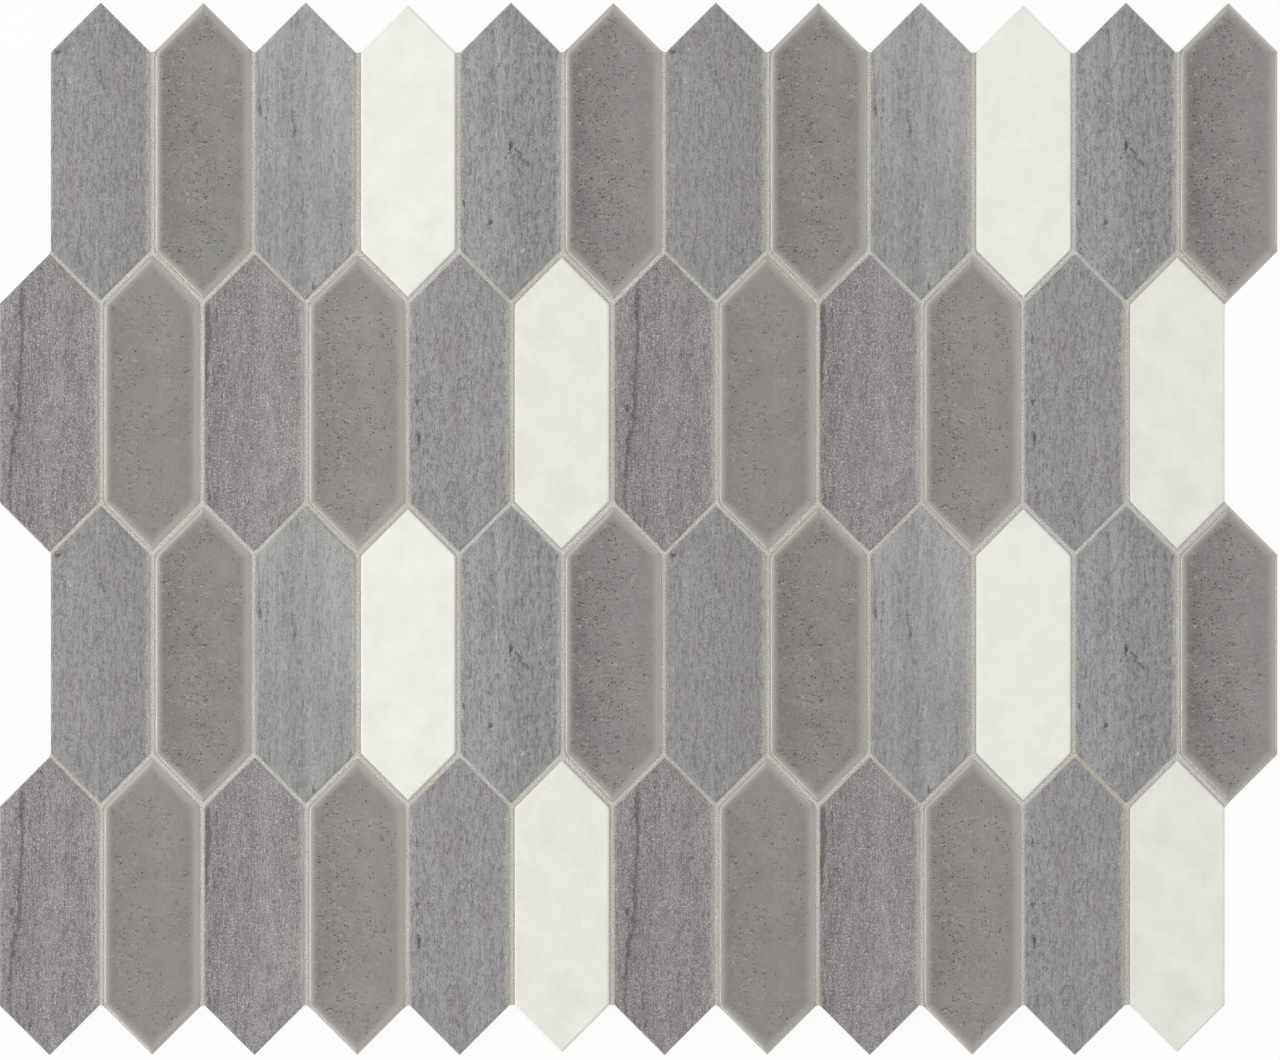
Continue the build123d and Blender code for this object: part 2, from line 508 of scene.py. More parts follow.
picket_objects = {}
for (row, column), picket in sorted(pickets.items()):
    kind, mesh = picket["kind"], picket_meshes[picket["face"]]
    x, y = picket["middle"]
    location = (x * MM, y * MM, underside * MM)
    name = f"{kind}_{row + 1}_{column + 1:02d}"
    picket_objects[row, column] = place_piece(name, mesh, location, picket["node"])
print(len(picket_objects), "pickets placed")

# %% [markdown]
# ## Grout
# The grout is one casting: a network of strips between facing edges, which meet in threes at
# every tip. Each strip is a grid from one edge to the other, level in the middle and shrunk a
# little away from the pickets, and each meeting point is a small triangle of the same grid. Sand
# stands proud of the surface by some hundredths of a millimetre. Walls that follow the pickets'
# own edges close the casting below.

# %% Facing edges and meeting points
GROUT_BELOW_FACE = 0.4
ROLL = {"stone": STONE_ARRIS + 0.05, "glazed": CERAMIC["glazed"]["roll"], "white": CERAMIC["white"]["roll"]}
# how far in from a picket's edge the grout laps over its eased or rolled edge
COVER = {"stone": 0.3, "glazed": 0.42, "white": 0.15}


def corner(place, which, inset):
    """A corner of a picket on the sheet, with its edges moved in by the inset."""
    picket = pickets[place]
    x, y = picket["middle"]
    side = picket["width"] / 2 - inset
    tip = picket["length"] / 2 - inset * sqrt(2)
    right = {"right": side, "left": -side, "tip": 0.0}[which.split("_")[1]]
    up = tip if which.endswith("tip") else tip - side
    return np.array([x + right, y + (up if which.startswith("upper") else -up)])


strips = []
meetings = []
for place in pickets:
    row, column = place
    beside = (row, column + 1)
    # the two places in the next row, which every second row shifts by half a picket
    lower_left = (row + 1, column - row % 2)
    lower_right = (row + 1, lower_left[1] + 1)
    if beside in pickets:
        strips.append(((place, "upper_right", "lower_right"), (beside, "upper_left", "lower_left")))
    if lower_left in pickets:
        strips.append(((place, "lower_left", "lower_tip"), (lower_left, "upper_tip", "upper_right")))
    if lower_right in pickets:
        strips.append(((place, "lower_right", "lower_tip"), (lower_right, "upper_tip", "upper_left")))
    if lower_left in pickets and lower_right in pickets:
        meetings.append(((place, "lower_tip"), (lower_left, "upper_right"), (lower_right, "upper_left")))
    if beside in pickets and lower_right in pickets:
        meetings.append(((place, "lower_right"), (beside, "lower_left"), (lower_right, "upper_tip")))
print(len(strips), "strips and", len(meetings), "meeting points")

# %% Cast the grout
STRIP_CELLS = 6
STRIP_STEP = 0.45
SHRINKAGE = 0.12
SAND_RELIEF = 0.06
SAGS = 0.03

grout_points = []
grout_faces = []


def turn_faces_out(mesh):
    """Makes all faces of a closed mesh face outwards, and counts its open edges."""
    editing = bmesh.new()
    editing.from_mesh(mesh)
    bmesh.ops.recalc_face_normals(editing, faces=editing.faces)
    open_edges = sum(1 for edge in editing.edges if len(edge.link_faces) != 2)
    editing.to_mesh(mesh)
    editing.free()
    return open_edges


def grout_height(x, y, middle):
    """Height over the pickets' undersides, for a place from 0 at the edges to 1 in the middle."""
    sand = mesh_noise(x, y, 0.45, 0.45, 31) + 0.7 * mesh_noise(x, y, 0.25, 0.25, 32)
    waves = mesh_noise(x, y, 6.0, 6.0, 33)
    level = np.minimum(1, middle * 1.6)
    highest = PICKET_THICKNESS - GROUT_BELOW_FACE
    return highest - SHRINKAGE * (1 - level) + SAND_RELIEF * sand * level + SAGS * waves


def add_points(x, y, z, middle=0.0):
    """Adds points in mm, and gives their numbers in the shape that they came in."""
    start = sum(len(block) for block in grout_points)
    columns = (x, y, z, middle * np.ones(np.shape(x)))
    grout_points.append(np.column_stack([np.ravel(column) for column in columns]))
    return start + np.arange(np.size(x)).reshape(np.shape(x))


def edge_points(side, steps, inset):
    """Points along one edge of a picket, from corner to corner, with the edge moved in."""
    place, start, end = side
    t = np.linspace(0, 1, steps + 1)[:, None]
    return corner(place, start, inset) * (1 - t) + corner(place, end, inset) * t


sections = {(a, b) for meeting in meetings for a in meeting for b in meeting}

for side_a, side_b in strips:
    kinds = [pickets[side[0]]["kind"] for side in (side_a, side_b)]
    length = np.linalg.norm(corner(*side_a[:2], 0) - corner(side_a[0], side_a[2], 0))
    steps = int(round(length / STRIP_STEP))
    edges = [edge_points(side, steps, COVER[kind]) for side, kind in zip((side_a, side_b), kinds)]
    t = np.linspace(0, 1, STRIP_CELLS + 1)
    x = edges[0][:, :1] * (1 - t) + edges[1][:, :1] * t
    y = edges[0][:, 1:] * (1 - t) + edges[1][:, 1:] * t
    middle = 4 * t * (1 - t) * np.ones(x.shape)
    top = add_points(x, y, grout_height(x, y, middle), middle)
    grout_faces += quads_of_grid(top).tolist()
    feet = []
    middles = []
    for side, kind, rim in ((side_a, kinds[0], top[:, 0]), (side_b, kinds[1], top[:, -1])):
        line = edge_points(side, steps, 0.0)
        below_roll = add_points(line[:, 0], line[:, 1], np.full(len(line), PICKET_THICKNESS - ROLL[kind]))
        foot = add_points(line[:, 0], line[:, 1], np.zeros(len(line)))
        for upper, lower in ((rim, below_roll), (below_roll, foot)):
            grout_faces += quads_between(upper, lower).tolist()
        middles.append(below_roll)
        feet.append(foot)
    grout_faces += quads_between(*feet).tolist()
    for end, which in ((0, 1), (-1, 2)):
        if ((side_a[0], side_a[which]), (side_b[0], side_b[which])) not in sections:
            rest = [middles[1][end], feet[1][end], feet[0][end], middles[0][end]]
            grout_faces.append([int(i) for i in [*top[end], *rest]])

for meeting in meetings:
    rims = [corner(place, which, COVER[pickets[place]["kind"]]) for place, which in meeting]
    feet = np.array([corner(place, which, 0.0) for place, which in meeting])
    numbers = {}
    for i in range(STRIP_CELLS + 1):
        for j in range(STRIP_CELLS + 1 - i):
            a, b = i / STRIP_CELLS, j / STRIP_CELLS
            c = 1 - a - b
            x, y = rims[0] * a + rims[1] * b + rims[2] * c
            middle = 4 * (a * b + b * c + c * a)
            z = grout_height(x, y, middle)
            numbers[i, j] = int(add_points(np.array([x]), np.array([y]), np.array([z]), middle)[0])
    for i, j in numbers:
        if (i + 1, j) in numbers and (i, j + 1) in numbers:
            grout_faces.append([numbers[i, j], numbers[i + 1, j], numbers[i, j + 1]])
            if (i + 1, j + 1) in numbers:
                grout_faces.append([numbers[i + 1, j], numbers[i + 1, j + 1], numbers[i, j + 1]])
    grout_faces.append([int(i) for i in add_points(feet[:, 0], feet[:, 1], np.zeros(3))])

every_point = np.concatenate(grout_points)
in_microns = np.round(every_point[:, :3] / 1e-3).astype(int)
_, first, same = np.unique(in_microns, axis=0, return_index=True, return_inverse=True)
same = same.ravel()
joined_faces = [list(dict.fromkeys(int(same[i]) for i in face)) for face in grout_faces]
grout_mesh = bpy.data.meshes.new("grout")
grout_mesh.from_pydata(every_point[first, :3] * MM, [], [face for face in joined_faces if len(face) > 2])
from_side = grout_mesh.attributes.new("from_side", "FLOAT", "POINT")
from_side.data.foreach_set("value", np.clip(every_point[first, 3], 0, 1).astype(np.float32))
open_edges = turn_faces_out(grout_mesh)
grout_mesh.shade_smooth()
grout_mesh.set_sharp_from_angle(angle=radians(60))

grout = place_piece("grout_casting", grout_mesh, (0.0, 0.0, underside * MM), "grout")
print("grout:", len(grout_mesh.polygons), "faces,", open_edges, "edges that don't join two faces")

# %% [markdown]
# ## Backing mesh
# The net behind the sheet is woven from flat glass-fibre yarns, 5 mm apart, and set with latex.
# Each yarn is a soft-edged ribbon that is squeezed a little where another one crosses it. The
# net is cut in steps so that it stays under the pickets, and the yarns keep the CAD's two layers.

# %% Weave the net
YARN_PITCH = 5.0
YARN_WIDTH = 0.9
YARN_THICKNESS = 0.25
NET_MARGIN = 1.5
YARN_SIDES = 6

row_middles = [pickets[row, 0]["middle"][1] for row in range(ROWS)]
row_ends = []
for row in range(ROWS):
    first, last = pickets[row, 0], pickets[row, COLUMNS - 1]
    left = first["middle"][0] - first["width"] / 2 + NET_MARGIN
    row_ends.append((left, last["middle"][0] + last["width"] / 2 - NET_MARGIN))
band = min(length - width for width, length in picket_sizes.values()) / 2 - NET_MARGIN
shared_left, shared_right = max(left for left, _ in row_ends), min(right for _, right in row_ends)


def yarn(start, end, fixed, level, along_x, seed):
    """Points of a closed yarn, as rings of points along it."""
    count = max(3, int(round((end - start) / (YARN_PITCH / 2))) + 1)
    run = np.linspace(start, end, count)
    angle = 2 * pi * (np.arange(YARN_SIDES) + 0.5) / YARN_SIDES
    full = 0.94 + 0.06 * np.cos(2 * pi * run / YARN_PITCH)
    wander = 0.5 * YARN_WIDTH * 0.1 * mesh_noise(run, fixed, 9.0, 1.0, seed)
    across = fixed + wander[:, None] + np.cos(angle) * (YARN_WIDTH / 2) * 0.95 * (1.85 - 0.9 * full[:, None])
    across = np.clip(across, fixed - YARN_WIDTH / 2, fixed + YARN_WIDTH / 2)
    height = level + YARN_THICKNESS / 2 + np.sin(angle) * (YARN_THICKNESS / 2) * full[:, None]
    height = np.clip(height, level, level + YARN_THICKNESS)
    run = np.repeat(run[:, None], YARN_SIDES, axis=1)
    return (run, across, height) if along_x else (across, run, height)


def weave(name, node, yarns):
    """One layer of the net from its yarns, in place of a CAD node."""
    points, faces, start = [], [], 0
    for x, y, z in yarns:
        points.append(np.column_stack([x.ravel(), y.ravel(), z.ravel()]))
        number = start + np.arange(x.size).reshape(x.shape)
        faces += quads_between(number, np.roll(number, -1, axis=1)).tolist()
        faces += [number[0][::-1].tolist(), number[-1].tolist()]
        start += x.size
    mesh = bpy.data.meshes.new(name)
    mesh.from_pydata(np.concatenate(points) * MM, [], faces)
    turn_faces_out(mesh)
    mesh.shade_smooth()
    print(name, len(yarns), "yarns,", len(mesh.polygons), "faces")
    return place_piece(name, mesh, (0.0, 0.0, 0.0), node)


net_top = row_middles[0] + band
weft_low, weft_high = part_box("weft_threads")
warp_low, warp_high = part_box("warp_threads")
weft_yarns = []
for number in range(int(round((weft_high.y - weft_low.y) / MM / YARN_PITCH)) + 1):
    y = weft_low.y / MM + YARN_WIDTH / 2 + number * YARN_PITCH
    ends = [ends for ends, middle in zip(row_ends, row_middles) if abs(y - middle) < band + YARN_WIDTH / 2]
    left, right = ends[0] if ends else (shared_left, shared_right)
    weft_yarns.append(yarn(left, right, y, 0.0, True, 300 + number))
warp_yarns = []
for number in range(int(round((warp_high.x - warp_low.x) / MM / YARN_PITCH)) + 1):
    x = warp_low.x / MM + YARN_WIDTH / 2 + number * YARN_PITCH
    if shared_left <= x <= shared_right:
        warp_yarns.append(yarn(-net_top, net_top, x, YARN_THICKNESS, False, 400 + number))
        continue
    for (left, right), middle in zip(row_ends, row_middles):
        if left <= x <= right:
            warp_yarns.append(yarn(middle - band, middle + band, x, YARN_THICKNESS, False, 400 + number))
weft = weave("weft_yarns", "weft_threads", weft_yarns)
warp = weave("warp_yarns", "warp_threads", warp_yarns)

# %% [markdown]
# ## Steps that the finishes share
# Each finish is painted in the piece's own coordinates, in mm, and builds on the same few ideas.
# A table of noises gives its patterns. A noise that is added to a value, around zero, makes it
# uneven. Where a noise crosses one of its values it draws a thin line that wanders. And a second
# colour can be laid over the first, more or less of it as some distance grows.

# %% Steps for finishes
MOSTLY = (0.4, 0.6)  # nearly all values of a noise lie here


def place_on_piece(tree, shift=(0.0, 0.0)):
    """The place on a piece: its three coordinates in metres, and a vector in mm plus the shift."""
    place = add(tree, "TexCoord").outputs["Object"]
    in_mm = add(tree, "Mapping", {"Vector": place, "Scale": (1000.0,) * 3, "Location": (*shift, 0.0)})
    return add(tree, "SeparateXYZ", (place,)).outputs, in_mm


def noise_patterns(tree, in_mm, patterns, shift):
    """The noises of a table: width and length in mm, detail, roughness and distortion."""
    fields = {}
    for number, (pattern, (wide, tall, detail, rough, distortion)) in enumerate(patterns.items()):
        moved = (shift[0] * number, shift[1] * number, 0.0)
        stretch = {"Scale": (1 / wide, 1 / tall, 1 / wide), "Location": moved}
        stretched = add(tree, "Mapping", {"Vector": in_mm, **stretch})
        look = {"Scale": 1.0, "Detail": detail, "Roughness": rough, "Distortion": distortion}
        fields[pattern] = add(tree, "TexNoise", {"Vector": stretched, **look})
    return fields


def made_uneven(tree, value, fields, weights):
    """A value plus some noises, each taken around zero and with its own weight."""
    for pattern, weight in weights.items():
        centred = add(tree, "Math", (fields[pattern], -0.5), operation="ADD")
        value = add(tree, "Math", (centred, weight, value), operation="MULTIPLY_ADD")
    return value


def crossing(tree, field, middle, fade, strength):
    """A thin line where a noise crosses a value. It fades between two distances from there."""
    apart = add(tree, "Math", (field, -middle), operation="ADD")
    apart = add(tree, "Math", (apart,), operation="ABSOLUTE")
    return add(tree, "MapRange", (apart, *fade, strength, 0.0))


def laid_over(tree, colour, hex_colour, measure, reach, amounts=(0.0, 1.0), change="LINEAR"):
    """A colour with another one laid over it, by the first amount where the measure is at the
    start of its reach and by the second where it is at the end."""
    amount = add(tree, "MapRange", (measure, *reach, *amounts), interpolation_type=change)
    return add(tree, "Mix", {0: amount, 6: colour, 7: linear(hex_colour)}, data_type="RGBA")


def distance_mm(tree, name):
    """A distance in mm that was stored in the mesh."""
    return add(tree, "Attribute", attribute_name=name).outputs["Fac"]


print("steps ready; a noise mostly lies between", MOSTLY[0], "and", MOSTLY[1])

# %% [markdown]
# ## Vein-cut limestone, honed
# Honing leaves a stone matt and pale, with its grain open. What the eye gets is colour, not
# gloss: fine streaks that follow the vein, short dark cracks with a light lip that is a painted
# highlight, bright grains and short pale hairs of calcite that lie in clusters, and broad bands
# where one bed was paler than the next. Most of these patterns are stretched along the vein.
# Cracks and hairs are drawn where a noise crosses one of its values. The grain is also a slight
# bump. Along the right-hand sides a haze of cement stayed on the stone when the joints were
# washed, and the arrises there are painted paler: painted light against their shade.

# %% Limestone
STONE_PATTERNS = {
    "streaks": (0.5, 7.0, 3.0, 0.6, 0.3),
    "grains": (0.3, 0.45, 1.0, 0.5, 0.0),
    "zones": (2.4, 14.0, 3.0, 0.6, 0.5),
    "bands": (5.5, 60.0, 2.0, 0.5, 0.4),
    "clouds": (4.5, 9.0, 3.0, 0.55, 0.0),
    "cracks": (1.5, 11.0, 4.0, 0.62, 0.4),
    "breaks": (0.9, 2.0, 1.0, 0.5, 0.0),
    "calcite": (0.4, 0.45, 1.0, 0.5, 0.0),
    "hairs": (1.2, 1.6, 2.0, 0.6, 0.8),
}
# a mark's stored distance, where in mm it is full and where it is gone, its colour and strength
MARK_COLOURS = (
    ("vein_mm", (0.1, 0.65), "#4A4547", 0.62),
    ("pit_mm", (0.0, 0.3), "#524E4B", 0.75),
    ("fleck_mm", (0.0, 0.25), "#CFCCC6", 0.8),
)


def vein_cut_limestone(name, base, lean, contrast, bands, sparkle, cracks, seed):
    material, tree, shader = new_material(name)
    axes, in_mm = place_on_piece(tree, (seed * 37.0, seed * 91.0))
    fields = noise_patterns(tree, in_mm, STONE_PATTERNS, (13.7, 5.1))
    # the grain is open in some zones and closed in others
    open_grain = add(tree, "MapRange", (fields["zones"], *MOSTLY, 0.8 * contrast, 1.6 * contrast))
    # paler towards one side or one end
    tone = 0.5
    for axis, reach, amount in (("X", 0.007, lean[0]), ("Y", 0.035, lean[1])):
        ranges = (axes[axis], -reach, reach, -amount, amount)
        side = add(tree, "MapRange", ranges, interpolation_type="SMOOTHSTEP")
        tone = add(tree, "Math", (side, tone), operation="ADD")
    weights = {"streaks": contrast * 0.8, "grains": open_grain, "bands": bands, "clouds": bands * 0.4}
    tone = made_uneven(tree, tone, fields, weights)
    # cracks and a light lip beside them, the lip a painted highlight: lines of one noise, side by side,
    # where another noise lets them
    broken = add(tree, "MapRange", (fields["breaks"], 0.45, 0.55))
    lines = ((0.44, -cracks), (0.5, -cracks), (0.53, cracks * 0.6), (0.57, -cracks * 0.8))
    for middle, strength in lines:
        line = crossing(tree, fields["cracks"], middle, (0.004, 0.02), strength)
        tone = add(tree, "Math", (line, broken, tone), operation="MULTIPLY_ADD")
    # calcite: bright grains and short pale hairs, more of both in the clusters
    cluster = add(tree, "MapRange", (fields["clouds"], *MOSTLY, 0.3 * sparkle, sparkle))
    bright = add(tree, "MapRange", (fields["calcite"], 0.6, 0.68))
    toned = add(tree, "Math", (bright, cluster, tone), operation="MULTIPLY_ADD", use_clamp=True)
    dark_hex, light_hex = base
    colour = add(tree, "Mix", {0: toned, 6: linear(dark_hex), 7: linear(light_hex)}, data_type="RGBA")
    hair = crossing(tree, fields["hairs"], 0.5, (0.012, 0.035), 0.45)
    short = add(tree, "MapRange", (fields["calcite"], 0.5, 0.58))
    hair = add(tree, "Math", (hair, short), operation="MULTIPLY")
    hair = add(tree, "Math", (hair, cluster), operation="MULTIPLY", use_clamp=True)
    colour = add(tree, "Mix", {0: hair, 6: colour, 7: linear("#CDC9C7")}, data_type="RGBA")
    # the beds drift between a rosy and a greenish grey
    drift = add(tree, "MapRange", (fields["clouds"], *MOSTLY))
    rosy, greenish = (1.012, 0.994, 1.0, 1.0), (0.988, 1.006, 0.994, 1.0)
    tint = add(tree, "Mix", {0: drift, 6: rosy, 7: greenish}, data_type="RGBA")
    colour = add(tree, "Mix", {0: 1.0, 6: colour, 7: tint}, data_type="RGBA", blend_type="MULTIPLY")
    # marks that are cut in the mesh get their colours, with ragged rims
    for mark, reach, mark_hex, strength in MARK_COLOURS:
        rim = made_uneven(tree, distance_mm(tree, mark), fields, {"grains": 1.2})
        colour = laid_over(tree, colour, mark_hex, rim, reach, (strength, 0.0), "SMOOTHSTEP")
    # a haze of cement along the right-hand side, and on the arrises there a paler colour that is painted
    # light against their shade
    half_wide = picket_sizes["stone"][0] / 2
    to_right = add(tree, "Math", (axes["X"], 1000.0, -half_wide), operation="MULTIPLY_ADD")
    haze = made_uneven(tree, to_right, fields, {"grains": 1.5})
    colour = laid_over(tree, colour, "#C2C0B6", haze, (-1.4, 0.2), change="SMOOTHSTEP")
    painted_light_on_arris = add(tree, "MapRange", (axes["X"], -0.002, 0.003, 0.0, 0.45))
    edge = distance_mm(tree, "edge_mm")
    colour = laid_over(tree, colour, "#B7B5AB", edge, (0.25, 0.6), (painted_light_on_arris, 0.0), "SMOOTHSTEP")
    roughness = add(tree, "MapRange", (fields["grains"], 0.3, 0.7, 0.48, 0.68))
    bump = add(tree, "Bump", {"Height": tone, "Strength": 1.0, "Distance": 0.0003})
    set_inputs(tree, shader, {"Base Color": colour, "Roughness": roughness, "IOR": 1.5, "Normal": bump})
    return material


# dark and light end of its greys, how much paler it is to the right and to the top, then how
# strong its grain, bands, calcite and cracks (with their painted highlight) are, and its seed
STONES = {
    "stone_a": (("#656364", "#B0ADAD"), (-0.04, 0.0), 0.68, 0.15, 0.35, 0.24, 1),
    "stone_b": (("#706E6F", "#BDBBBA"), (0.02, 0.08), 0.62, 0.60, 0.20, 0.20, 2),
    "stone_c": (("#6A686B", "#B6B4B5"), (-0.09, 0.0), 0.70, 0.55, 0.25, 0.28, 3),
    "stone_d": (("#595556", "#ABA6A6"), (0.04, 0.05), 0.88, 0.60, 1.50, 0.24, 4),
    "stone_e": (("#5B5758", "#ABA6A7"), (0.07, 0.0), 0.86, 0.50, 1.75, 0.20, 5),
    "stone_f": (("#6B696A", "#B5B2B4"), (0.0, 0.02), 0.72, 0.20, 0.40, 0.26, 6),
}
for name, settings in STONES.items():
    picket_meshes[name].materials.append(vein_cut_limestone(name, *settings))
print(len(STONES), "stones")

# %% [markdown]
# ## Reactive grey glaze on stoneware
# The grey glaze has dots of iron, a quarter to half a millimetre across, and short dark wrinkles
# with a light lip, both crowded in some places. Under them it drifts between warm grey, plum and
# olive by a shade or two. It is glassy, so its roughness is low and its edge catches the lamps.
# Over the rolled edge the glaze ran thin, and the paler body shows through it; that paler band
# is also a painted sheen, where the roll would mirror the bright room. The same clay body,
# unglazed, shows on the lower sides and the back.

# %% Grey glaze
GLAZE_PATTERNS = {
    "plum": (5.0, 7.0, 3.0, 0.5, 0.3),
    "olive": (6.0, 8.0, 3.0, 0.5, 0.3),
    "mottle": (1.3, 1.6, 3.0, 0.65, 0.2),
    "crowding": (5.0, 7.0, 2.0, 0.5, 0.0),
    "fine": (0.5, 0.55, 2.0, 0.6, 0.0),
    "wrinkles": (2.4, 1.0, 2.0, 0.5, 0.6),
}
DOT_CELL = 0.9
GLAZE_IOR = 1.52


def bare_clay(tree, colour, height, gloss):
    """Colour and roughness of a glazed picket, with the clay bare on the lower sides and the back."""
    bare = add(tree, "MapRange", (height, 0.0034, 0.0030))
    colour = add(tree, "Mix", {0: bare, 6: colour, 7: linear("#C9BCA6")}, data_type="RGBA")
    return colour, add(tree, "MapRange", (bare, 0.0, 1.0, gloss, 0.75))


def reactive_glaze(name, tints, dots, wrinkles, mottling, lean, gloss, seed):
    material, tree, shader = new_material(name)
    axes, in_mm = place_on_piece(tree, (seed * 53.0, seed * 29.0))
    fields = noise_patterns(tree, in_mm, GLAZE_PATTERNS, (7.3, 3.9))
    base_hex, plum_hex, olive_hex = tints
    colour = laid_over(tree, linear(base_hex), plum_hex, fields["plum"], (0.42, 0.62))
    colour = laid_over(tree, colour, olive_hex, fields["olive"], (0.45, 0.65))
    # brighter and darker by a few parts in a hundred, in patches and in points, and to one side
    per_metre = lean * 1000.0
    level = add(tree, "Math", (axes["X"], per_metre, 1.0), operation="MULTIPLY_ADD")
    level = made_uneven(tree, level, fields, {"plum": 0.4, "mottle": mottling, "fine": mottling * 1.8})
    # thicker, so darker, where it pooled inside the rolled edge, and paler at the tips
    edge = distance_mm(tree, "edge_mm")
    to_tip = add(tree, "Math", (axes["Y"],), operation="ABSOLUTE")
    for ranges in ((edge, 3.0, 8.0, 0.955, 1.02), (to_tip, 0.018, 0.034, 1.0, 1.1)):
        factor = add(tree, "MapRange", ranges)
        level = add(tree, "Math", (level, factor), operation="MULTIPLY")
    shade = add(tree, "VectorMath", {0: colour, "Scale": level}, operation="SCALE")
    # iron dots: at most one in a cell, and in more of the cells where they crowd
    voronoi = {"Vector": in_mm, "Scale": 1 / DOT_CELL, "Randomness": 1.0}
    cells = add(tree, "TexVoronoi", voronoi, feature="F1").outputs
    leaning = (axes["X"], -1.5 * per_metre, fields["crowding"])
    crowded = add(tree, "Math", leaning, operation="MULTIPLY_ADD")
    share = add(tree, "MapRange", (crowded, 0.35, 0.65, 0.35 * dots, dots))
    chance = add(tree, "SeparateXYZ", (cells["Color"],)).outputs
    has_dot = add(tree, "Math", (chance["X"], share), operation="LESS_THAN")
    own_size = add(tree, "MapRange", (chance["Y"], 0.0, 1.0, 0.14, 0.26))
    radius = add(tree, "Math", (has_dot, own_size), operation="MULTIPLY")
    inside = add(tree, "Math", (radius, cells["Distance"]), operation="SUBTRACT")
    colour = laid_over(tree, shade, "#363231", inside, (-0.03, 0.04), (0.0, 0.9))
    # wrinkles: short dark lines, each with a light lip beside it
    broken = add(tree, "MapRange", (crowded, 0.38, 0.55, 0.15))
    short = add(tree, "MapRange", (fields["mottle"], 0.44, 0.54))
    here = add(tree, "Math", (broken, short), operation="MULTIPLY")
    for middle, line_hex, strength in ((0.5, "#4A4644", wrinkles), (0.55, "#BAB7B2", wrinkles * 0.5)):
        line = crossing(tree, fields["wrinkles"], middle, (0.01, 0.035), strength)
        wrinkle = add(tree, "Math", (line, here), operation="MULTIPLY")
        colour = add(tree, "Mix", {0: wrinkle, 6: colour, 7: linear(line_hex)}, data_type="RGBA")
    # paler towards the edge, and further in on the right: the glaze is thin over the roll, and the band is
    # also a painted sheen of its reflection
    reach = add(tree, "MapRange", (axes["X"], 0.0, 0.009, 2.7, 3.2))
    colour = laid_over(tree, colour, "#ACA7A1", edge, (0.2, reach), (1.0, 0.0), "SMOOTHSTEP")
    colour, roughness = bare_clay(tree, colour, axes["Z"], gloss)
    bump = add(tree, "Bump", {"Height": fields["mottle"], "Strength": 0.25, "Distance": 0.0001})
    looks = {"Base Color": colour, "Roughness": roughness, "IOR": GLAZE_IOR, "Normal": bump}
    set_inputs(tree, shader, looks)
    return material


# the three tints, then how many cells have a dot, how dark the wrinkles are, how strong the
# mottling is, how much brighter the glaze gets for each millimetre to the right, its roughness
# and its seed
GLAZES = {
    "glazed_a": (("#868381", "#888482", "#858380"), 0.52, 0.80, 0.34, 0.0065, 0.12, 1),
    "glazed_b": (("#878483", "#898483", "#878482"), 0.58, 0.80, 0.36, 0.0140, 0.14, 2),
    "glazed_c": (("#8B8784", "#8C8784", "#8A8683"), 0.17, 0.65, 0.15, 0.0030, 0.08, 3),
    "glazed_d": (("#8C8885", "#8D8886", "#8B8784"), 0.52, 0.70, 0.34, 0.0065, 0.26, 4),
}
for name, settings in GLAZES.items():
    picket_meshes[name].materials.append(reactive_glaze(name, *settings))
print(len(GLAZES), "grey glazes")

# %% [markdown]
# ## White glaze on stoneware
# The white pickets have an opaque tin-white glaze, slightly warm. It hides the body, so there is
# little to see but its gloss and a faint unevenness where it flowed, and a line some 2 mm in from
# the edge where it pooled.

# %% White glaze
POOL_FROM_EDGE = 2.1
POOL_HALF_WIDTH = 0.25


def tin_white_glaze(name, base_hex, pool_hex, seed):
    material, tree, shader = new_material(name)
    axes, in_mm = place_on_piece(tree, (seed * 41.0, seed * 17.0))
    noises = []
    for size, rough, distortion in ((7.0, 0.5, 0.6), (1.4, 0.65, 1.2)):
        look = {"Scale": 1 / size, "Detail": 3.0, "Roughness": rough, "Distortion": distortion}
        noises.append(add(tree, "TexNoise", {"Vector": in_mm, **look}))
    flow, curds = noises
    clouds = add(tree, "Math", (curds, 0.6, flow), operation="MULTIPLY_ADD")
    colour = laid_over(tree, linear(base_hex), pool_hex, clouds, (0.6, 1.05))
    edge = distance_mm(tree, "edge_mm")
    pool = add(tree, "Math", (edge, POOL_FROM_EDGE, POOL_HALF_WIDTH), operation="COMPARE")
    pooled = add(tree, "Math", (pool, 0.12), operation="MULTIPLY")
    colour = add(tree, "Mix", {0: pooled, 6: colour, 7: linear("#DEDBD0")}, data_type="RGBA")
    # darker over the rolled edge: painted shade that tones down the light the roll catches
    colour = laid_over(tree, colour, "#D4D1C8", edge, (0.1, 0.6), (0.6, 0.0))
    colour, roughness = bare_clay(tree, colour, axes["Z"], 0.6)
    bump = add(tree, "Bump", {"Height": flow, "Strength": 0.2, "Distance": 0.0002})
    looks = {"Base Color": colour, "Roughness": roughness, "IOR": GLAZE_IOR, "Normal": bump}
    set_inputs(tree, shader, looks)
    return material


WHITES = {"white_a": ("#ECECE5", "#E4E3DC", 1), "white_b": ("#E8E7E0", "#DEDDD6", 2)}
for name, settings in WHITES.items():
    picket_meshes[name].materials.append(tin_white_glaze(name, *settings))
print(len(WHITES), "white glazes")
